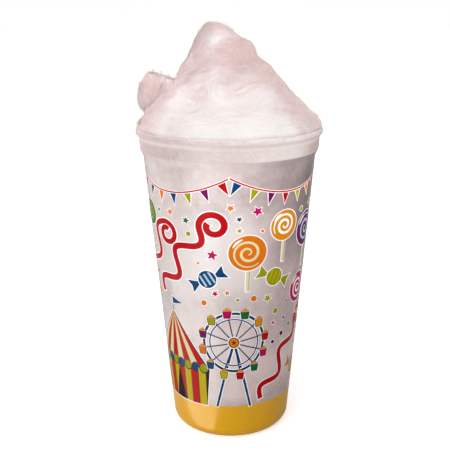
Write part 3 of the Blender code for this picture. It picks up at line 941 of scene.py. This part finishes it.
def cup_material():
    """Cloudy white plastic with a gold band printed round the foot, paler where sugar presses against the
    wall.
    Painted shade darkens the wall towards the right and the collar at its left; painted light lightens the
    upper left of the wall, the band under the collar, the lower right edge and the crease under the lip, and
    a painted highlight runs along the lip's top."""
    nodes = Nodes("cup_plastic")
    axes = nodes.add("SeparateXYZ", {0: nodes.add("TexCoord").outputs["Object"]})
    height, right = axes.outputs["Z"], axes.outputs["X"]
    grain = cup_grain(nodes, axes)
    cloud = nodes.plus(nodes.noise(0.022, 2.0), nodes.times(nodes.noise(0.0045, 4.0), 0.7))
    fleck = nodes.spread(nodes.noise(0.0012, 2.0), 0.35, 0.65, -0.09, 0.09)
    dull = nodes.plus(nodes.spread(cloud, 0.66, 1.10), fleck, nodes.times(grain, 0.10))
    # painted light: the upper wall is lightened towards its left edge, where the light falls off
    painted_light_left = nodes.area((right, -0.042, -0.010, 0.7, 0.0), (height, 0.125, 0.155, 1.0, 0.38))
    body = nodes.mix(nodes.less(dull, painted_light_left), PLASTIC_PALE, PLASTIC_DULL)
    # painted shade: the wall grows darker towards the right, and darkest at its upper right
    corner = nodes.area((right, 0.032, 0.042), (height, 0.150, 0.157, 0.17, 0.02))
    empty = nodes.plus(nodes.spread(right, 0.002, 0.042, 0.0, 0.81), corner)
    empty = nodes.times(empty, nodes.spread(height, 0.098, 0.118, 0.10, 1.0))
    body = nodes.mix(nodes.plus(empty, nodes.varied(0.007, -0.07, 0.07)), body, PLASTIC_PAINTED_SHADE)
    # sugar against the wall: low on the right, low in the middle, and half way up. Painted light lightens the
    # band just under the collar, against the collar's shadow, and the lower right edge
    pressed = nodes.area((height, 0.026, 0.042), (height, 0.050, 0.064, 1.0, 0.0))
    far = nodes.times(pressed, nodes.spread(right, 0.025, 0.036, 0.0, 0.6))
    pressed = nodes.times(pressed, nodes.spread(right, -0.012, 0.024, 0.0, 0.90))
    # painted light: the band just under the collar is lightened to cancel the collar's shadow
    top = ((height, 0.1575, 0.1605), (right, -0.022, -0.004, 0.10, 0.44), (right, 0.004, 0.018, 1.0, 0.1))
    low = ((height, 0.022, 0.028), (height, 0.068, 0.082, 1.0, 0.0), (right, -0.020, 0.000, 0.20, 0.80))
    low = nodes.area(*low, (right, 0.004, 0.022, 1.0, 0.2))
    body = nodes.mix(nodes.math("MAXIMUM", pressed, nodes.area(*top), low), body, PLASTIC_BACKED_AND_PAINTED_LIGHT)
    middle = ((height, 0.082, 0.096), (height, 0.126, 0.140, 1.0, 0.0), (right, -0.034, -0.008, 0.30, 0.95))
    body = nodes.mix(nodes.area(*middle, (right, 0.008, 0.028, 1.0, 0.0)), body, PLASTIC_MILKY)
    # painted light: the lower right edge of the wall is lightened, as if lit from the floor
    body = nodes.mix(far, body, PAINTED_LIGHT_TINT)
    rosy = nodes.area((right, -0.008, 0.026), (height, 0.125, 0.150, 1.0, 0.3))
    body = nodes.mix(rosy, body, PLASTIC_ROSY, "MULTIPLY")
    # painted shade and light: the collar is painted darker at the left and lighter towards the right, darker
    # again at its far right and on the lip's face; the cloud and grain in it are its own mottling
    share = nodes.less(
        nodes.spread(right, -0.045, 0.036),
        nodes.spread(right, 0.033, 0.050, 0.0, 0.9),
        nodes.spread(cloud, 0.70, 1.10, -0.15, 0.15),
        nodes.times(grain, 0.20),
        nodes.spread(height, 0.1708, 0.1716, 0.0, 0.13),
        nodes.area((right, 0.036, 0.046), (height, 0.165, 0.170, 0.9, 0.0)),
    )
    collar = nodes.mix(share, COLLAR_PAINTED_SHADE_LEFT, COLLAR_PAINTED_LIT_RIGHT)
    # painted light: the crease under the lip is lightened against its shade, and a painted highlight runs
    # along the lip's top
    crease = nodes.math("ABSOLUTE", nodes.less(height, CREASE), 0.0)
    crease = nodes.spread(crease, 0.0004, 0.0018, 0.35, 0.0)
    edge = nodes.plus(crease, nodes.spread(height, 0.1742, 0.1748, 0.0, 0.4))
    collar = nodes.mix(edge, collar, PAINTED_LIGHT_TINT)
    tall = nodes.spread(height, *COLLAR_RISE)
    printed = nodes.math("LESS_THAN", height, BAND_TOP / 1000)
    gold = nodes.mix(nodes.varied(0.0016, 0.0, 0.10), GOLD, GOLD_WORN)
    colour = nodes.mix(printed, nodes.mix(tall, body, collar), gold)
    rough = nodes.plus(nodes.varied(0.0050, 0.13, 0.22), nodes.times(tall, 0.35), nodes.times(printed, 0.06))
    bump = nodes.bump(nodes.noise(0.0009), 0.00006, 0.5)
    bump = nodes.bump(grain, 0.00003, 0.5, bump)
    bump = nodes.bump(nodes.noise(0.009, 2.0), 0.0003, 0.25, bump)
    return nodes.finish(Base_Color=colour, Roughness=rough, Normal=bump, Specular_IOR_Level=0.25)


def add_cup():
    points, faces = turned_arrays(cup_section(), TURN)
    cup = mesh_object("cup_body", points, faces, cup_material())
    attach(cup, "root")
    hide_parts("cup")


# ---------------------------------------------------------------- the print

# The label is flat, in millimetres: s runs round the cup from its front, z is the height
LABEL_RADIUS = 41.0
LABEL_HALF = math.pi * LABEL_RADIUS
LABEL_FOOT = BAND_TOP - 0.4
# The inks of the wheel's seats, of the bunting's flags and of the confetti, in order
SEATS = "red amber green magenta lime purple orange blue yellow red green magenta".split()
FLAGS = "amber magenta green orange blue lime purple red yellow".split()
CONFETTI = "red amber magenta green blue purple lime orange".split()
CONFETTI_TRIES = 1500
CONFETTI_FIELD = ((-62.0, 62.0), (28.0, 140.0))
CONFETTI_SIZE = (1.0, 2.3)
CONFETTI_GAP = 1.8
CONFETTI_STARS = 0.45

INKS = {
    "white": (0.90, 0.86, 0.85),
    "black": srgb(26, 20, 22),
    "red": srgb(172, 0, 10),
    "orange": srgb(203, 104, 4),
    "amber": srgb(204, 128, 0),
    "purple": srgb(98, 6, 76),
    "lime": srgb(138, 142, 0),
    "yellow": srgb(180, 160, 0),
    "magenta": srgb(178, 0, 86),
    "green": srgb(4, 96, 46),
    "blue": srgb(0, 58, 104),
    "sky": srgb(160, 186, 202),
    "cream": srgb(214, 200, 152),
}
# How far the white round a shape shows
HALO = 0.55

# Lollipops: middle, radius, ink, the swirl's ink, the stick's length
LOLLIPOPS = (
    ((9.0, 114.0), 9.8, "orange", "cream", 12.0),
    ((29.0, 127.0), 8.4, "amber", "white", 12.0),
    ((49.0, 121.0), 9.8, "purple", "sky", 12.0),
    ((47.0, 87.0), 8.8, "magenta", "white", 7.0),
    ((-52.0, 130.0), 7.2, "green", "lime", 7.0),
)

# Wrapped sweets: middle, size, tilt, ink, the stripes' ink
SWEETS = (
    ((24.5, 98.5), 6.2, -24.0, "lime", "yellow"),
    ((-12.0, 99.0), 6.2, 28.0, "blue", "sky"),
    ((52.0, 37.0), 6.6, -28.0, "amber", "cream"),
    ((60.0, 97.0), 5.4, 35.0, "green", "lime"),
)


class Label:
    """The print's shapes, the later over the earlier."""

    def __init__(self):
        self.shapes = []

    def add(self, points, ink, halo=0.0):
        points = np.array(points, float)
        if halo:
            self.shapes.append((grown(points, halo), "white"))
        self.shapes.append((points, ink))

    def disc(self, middle, radius, ink, halo=0.0):
        turns = np.linspace(0, 2 * math.pi, max(10, int(radius * 5)), endpoint=False)
        for size, colour in ((radius + halo, "white"), (radius, ink)):
            if size > radius or colour == ink:
                self.shapes.append((round_points(turns, size, middle), colour))

    def stroke(self, path, width, ink, halo=0.0, taper=False):
        path = np.array(path, float)
        along = unit(np.gradient(path, axis=0))
        side = np.stack([-along[:, 1], along[:, 0]], 1)
        share = tapering((0.12, 0.88), len(path)) if taper else np.ones(len(path))
        for wide, colour in ((width + 2 * halo, "white"), (width, ink)):
            if wide > width or colour == ink:
                half = side * (wide * share / 2)[:, None]
                middle = path.copy()
                middle[0] -= along[0] * (wide - width) / 2
                middle[-1] += along[-1] * (wide - width) / 2
                right, left = middle - half, middle + half
                for k in range(len(path) - 1):
                    self.shapes.append((np.array([right[k], right[k + 1], left[k + 1], left[k]]), colour))


def grown(points, amount):
    """A closed outline moved outwards; the outline runs anticlockwise."""
    before = unit(points - np.roll(points, 1, axis=0))
    after = unit(np.roll(points, -1, axis=0) - points)
    out = unit(np.stack([before[:, 1] + after[:, 1], -(before[:, 0] + after[:, 0])], 1))
    turn = np.clip(np.sum(before * after, axis=1), -0.3, 1.0)
    return points + out * (amount / np.sqrt((1 + turn) / 2))[:, None]


def turned(points, degrees, middle):
    t = math.radians(degrees)
    points = np.array(points, float)
    return points @ np.array([(math.cos(t), math.sin(t)), (-math.sin(t), math.cos(t))]) + middle


def star(middle, radius, tilt=0.0, tips=5, depth=0.45):
    turns = np.linspace(0, 2 * math.pi, 2 * tips, endpoint=False) + math.pi / 2
    reach = np.where(np.arange(2 * tips) % 2, radius * depth, radius)
    return turned(round_points(turns, reach, 0.0), tilt, middle)


def wave(start, stop, waves, height):
    """A wavy path from start to stop."""
    start, stop = np.array(start, float), np.array(stop, float)
    t = np.linspace(0, 1, 50)
    along = unit(stop - start)
    side = np.array((-along[1], along[0]))
    return start + (stop - start) * t[:, None] + side * (np.sin(t * waves * 2 * math.pi) * height)[:, None]


def spiral(middle, inner, outer, turns, start=0.0, count=44):
    t = np.linspace(0, 1, count)
    return round_points(math.radians(start) + t * turns * 2 * math.pi, inner + (outer - inner) * t, middle)


def lollipop(label, middle, radius, ink, swirl, stick):
    """A round boiled sweet with a swirl in it, on a stick of the given length."""
    x, z = middle
    foot = z - radius - stick
    label.add([(x - 0.8, foot), (x + 0.8, foot), (x + 0.8, z), (x - 0.8, z)], "cream", HALO)
    label.stroke([(x + 0.95, foot), (x + 0.95, z)], 0.3, "black")
    label.disc(middle, radius, ink, HALO)
    label.stroke(spiral(middle, 0.8, radius - 1.5, 2.1, x * 31), 1.5, swirl, taper=True)
    label.stroke(spiral(middle, radius * 0.84, radius * 0.84, 0.13, 110, 9), 1.2, "white", taper=True)


def sweet(label, middle, size, tilt, ink, stripe):
    """A wrapped sweet: a round middle between two twisted ends."""
    for side in (1, -1):
        fan = [(0.55 * size, 0), (1.75 * size, -0.62 * size), (1.58 * size, 0), (1.75 * size, 0.62 * size)]
        fan = [(x * side, y * side) for x, y in fan]
        label.add(turned(fan, tilt, middle), ink, HALO)
    label.disc(middle, size * 0.80, ink, HALO)
    for offset in (-0.38, 0.05, 0.48):
        bar = [(offset - 0.09, -0.55), (offset + 0.09, -0.55), (offset + 0.02, 0.55), (offset - 0.16, 0.55)]
        label.add(turned(np.array(bar) * size, tilt, middle), stripe)


def bunting(label, start, stop, sag, inks, flags):
    """A hanging cord with pointed flags on it."""
    t = np.linspace(0, 1, flags * 4 + 1)
    x = start[0] + (stop[0] - start[0]) * t
    z = start[1] + (stop[1] - start[1]) * t - 4 * sag * t * (1 - t)
    cord = np.stack([x, z], 1)
    for k in range(flags):
        left, right = cord[k * 4 + 1], cord[k * 4 + 3]
        down = np.array((left[1] - right[1], right[0] - left[0])) * -1.7
        label.add([left, (left + right) / 2 + down, right], inks[k % len(inks)], HALO)
    label.stroke(cord, 0.8, "red", 0.35)


def tent(label, x, width, height, stripes=8):
    """A striped show tent that stands on the band."""
    foot, eaves, peak = LABEL_FOOT, LABEL_FOOT + height * 0.42, LABEL_FOOT + height
    half, wide = width / 2, width / 2 * 1.12
    outline = [(x - half, foot), (x + half, foot), (x + wide, eaves), (x, peak), (x - wide, eaves)]
    label.add(outline, "black", HALO)
    for k in range(stripes):
        a, b = -1 + 2 * k / stripes, -1 + 2 * (k + 1) / stripes
        left, right = x + a * half + 0.2, x + b * half - 0.2
        label.add([(left, foot), (right, foot), (right, eaves), (left, eaves)], "yellow" if k % 2 else "red")
        left, right = x + a * half * 1.08 + 0.15, x + b * half * 1.08 - 0.15
        top = [(x + b * 0.5, peak - 1.4), (x + a * 0.5, peak - 1.4)]
        label.add([(left, eaves + 0.3), (right, eaves + 0.3), *top], "red" if k % 2 else "cream")
        middle, reach = (left + right) / 2, (right - left) / 2
        label.disc((middle, eaves + 0.1), reach + 0.35, "black")
        label.disc((middle, eaves + 0.3), reach - 0.05, "lime" if k % 2 else "blue")
    label.add([(x - half * 0.24, foot), (x + half * 0.24, foot), (x, eaves - 3.0)], "black")
    label.stroke([(x, peak - 1.0), (x, peak + 8.0)], 0.7, "black", 0.3)
    label.add([(x + 0.3, peak + 3.6), (x + 8.4, peak + 5.4), (x + 0.3, peak + 8.0)], "blue", 0.45)


def wheel(label, middle, radius):
    """A big wheel with hanging seats, on two legs that stand on the band."""
    x, z = middle
    for side in (-1, 1):
        label.stroke([(x, z), (x + side * radius * 0.62, LABEL_FOOT)], 1.5, "blue", HALO)
    label.stroke(spiral(middle, radius * 0.80, radius * 0.80, 1.0, 90, 50), 0.8, "blue", 0.35)
    label.stroke(spiral(middle, radius, radius, 1.0, 90, 60), 1.5, "blue", HALO)
    turns = [2 * math.pi * k / len(SEATS) + 0.2 for k in range(len(SEATS))]
    for t in turns:
        label.stroke([middle, (x + math.cos(t) * radius, z + math.sin(t) * radius)], 0.7, "blue")
    cabin = np.array([(-2.6, 0.2), (-1.9, -4.2), (1.9, -4.2), (2.6, 0.2)])
    for t, ink in zip(turns, SEATS):
        tip = np.array((x + math.cos(t) * (radius + 1.6), z + math.sin(t) * (radius + 1.6)))
        label.add(cabin + tip, "black", 0.3)
        label.add(cabin * (0.82, 0.86) + tip + (0, -0.25), ink)
        label.add(np.array([(-2.7, 0.3), (2.7, 0.3), (0, 2.3)]) + tip, "amber")
    label.disc(middle, 3.2, "black", HALO)
    label.disc(middle, 2.6, "amber")
    label.add(star(middle, 1.9), "red")


def streamer(label, start, stop, waves, height, width, curl):
    """A bold paper streamer that ends in a curl."""
    path = wave(start, stop, waves, height)
    heading = math.atan2(*(path[-1] - path[-2])[::-1])
    t = np.linspace(0.0, 1.0, 44)[1:]
    aside = heading - math.pi / 2
    middle = path[-1] + np.array((math.cos(aside), math.sin(aside))) * curl
    tail = round_points(heading + math.pi / 2 - t * 2.25 * math.pi, curl * (1 - 0.58 * t), middle)
    label.stroke(np.concatenate([path, tail]), width, "red", 0.65)


def confetti(label, rng):
    """Small dots and stars in what is left bare."""
    taken = [shape.mean(axis=0) for shape, _ in label.shapes]
    reach = [np.linalg.norm(shape - shape.mean(axis=0), axis=1).max() for shape, _ in label.shapes]
    for _ in range(CONFETTI_TRIES):
        place = np.array([rng.uniform(*span) for span in CONFETTI_FIELD])
        size = rng.uniform(*CONFETTI_SIZE)
        room = min(np.linalg.norm(place - m) - r for m, r in zip(taken, reach))
        if room < size + CONFETTI_GAP:
            continue
        ink = CONFETTI[rng.integers(len(CONFETTI))]
        if rng.random() < CONFETTI_STARS:
            label.add(star(place, size * 1.5, rng.uniform(0, 72)), ink, 0.35)
        else:
            label.disc(place, size * 0.8, ink, 0.35)
        taken.append(place)
        reach.append(size + 1.6)


def draw_label():
    label = Label()
    bunting(label, (-64.4, 156.0), (0.0, 155.0), 10.0, FLAGS, 8)
    bunting(label, (0.0, 155.0), (64.4, 156.0), 10.0, FLAGS[4:] + FLAGS[:4], 8)
    streamer(label, (-58.0, 92.0), (-37.0, 128.0), 1.5, 4.4, 3.0, 6.6)
    streamer(label, (-44.0, 86.0), (-15.0, 127.0), 2.0, 5.0, 3.4, 7.4)
    streamer(label, (20.0, 25.0), (47.0, 66.0), 2.0, 4.8, 3.4, 6.8)
    tent(label, -37.0, 43.0, 55.0)
    wheel(label, (2.0, 62.0), 17.5)
    for placing in LOLLIPOPS:
        lollipop(label, *placing)
    for placing in SWEETS:
        sweet(label, *placing)
    confetti(label, np.random.default_rng(3))
    return label.shapes


# The net of points that lets the label bend with the wall: how far apart they are and how high it goes
COLUMN, ROW, NET_TOP = 2.5, 9.0, 158.0


def inside(points, outline):
    """Which of the points lie inside a closed outline."""
    x, y = points[:, 0][:, None], points[:, 1][:, None]
    x0, y0 = outline[:, 0], outline[:, 1]
    x1, y1 = np.roll(x0, -1), np.roll(y0, -1)
    rise = np.where(y1 == y0, 1.0, y1 - y0)
    crossed = ((y0 > y) != (y1 > y)) & (x < (x1 - x0) * (y - y0) / rise + x0)
    return crossed.sum(axis=1) % 2 == 1


def label_arrays(shapes):
    """The shapes cut into triangles on the flat label, each with the ink on top of it."""
    shapes = [(shape + (shift, 0.0), ink) for shift in (0.0, LABEL_HALF) for shape, ink in shapes]
    points, edges = [], []
    for shape, _ in shapes:
        start, count = len(points), len(shape)
        points += shape.tolist()
        edges += [(start + k, start + (k + 1) % count) for k in range(count)]
    for s in np.arange(-LABEL_HALF / 2, LABEL_HALF * 1.5, COLUMN):
        start = len(points)
        points += [(float(s), float(z)) for z in np.arange(BAND_TOP - 1.0, NET_TOP, ROW)]
        edges += [(k, k + 1) for k in range(start, len(points) - 1)]
    found = delaunay_2d_cdt([Vector(point) for point in points], edges, [], 0, 1e-4, False)
    flat = np.array([tuple(point) for point in found[0]])
    triangles = np.array(found[2])
    middles = flat[triangles].mean(axis=1)
    top = np.full(len(triangles), -1)
    order = np.argsort(middles[:, 0])
    sorted_s = middles[order, 0]
    for index, (shape, _) in enumerate(shapes):
        low, high = shape.min(axis=0), shape.max(axis=0)
        near = order[np.searchsorted(sorted_s, low[0]) : np.searchsorted(sorted_s, high[0])]
        near = near[(middles[near, 1] > low[1]) & (middles[near, 1] < high[1])]
        top[near[inside(middles[near], shape)]] = index
    colours = np.array([(*INKS[ink], 1.0) for _, ink in shapes])
    return flat, triangles[top >= 0], colours[top[top >= 0]]


def print_material():
    nodes = Nodes("ink")
    colour = nodes.add("Attribute", attribute_name="ink").outputs["Color"]
    colour = nodes.mix(nodes.varied(0.0014, 0.0, 0.01), colour, (0.55, 0.47, 0.46, 1.0))
    rough = nodes.varied(0.0040, 0.14, 0.24)
    bump = nodes.bump(nodes.noise(0.0009), 0.00005, 0.4)
    return nodes.finish(Base_Color=colour, Roughness=rough, Normal=bump, Specular_IOR_Level=0.03)


def add_print():
    flat, triangles, colours = label_arrays(draw_label())
    used, triangles = np.unique(triangles, return_inverse=True)
    flat, triangles = flat[used], triangles.reshape(-1, 3)
    angle = flat[:, 0] / LABEL_RADIUS
    slope = (SHOULDER[0] - WALL_FOOT[0]) / (SHOULDER[1] - WALL_FOOT[1])
    out = unit(np.stack([np.sin(angle), -np.cos(angle), np.full(len(angle), -slope)], axis=1))
    radius = wall_radius(flat[:, 1])
    wall = np.stack([np.sin(angle) * radius, -np.cos(angle) * radius, flat[:, 1]], axis=1)
    points = (wall + out * INK_THICKNESS) / 1000.0
    skin = mesh_object("cup_print", points, triangles, print_material(), out)
    ink = skin.data.color_attributes.new("ink", "FLOAT_COLOR", "CORNER")
    ink.data.foreach_set("color", np.repeat(colours, 3, axis=0).astype(np.float32).ravel())
    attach(skin, "root")


add_camera()
add_studio()
core = add_core()
add_strands(*core)
add_fuzz(*core)
add_crystals(*core)
add_cup()
add_print()
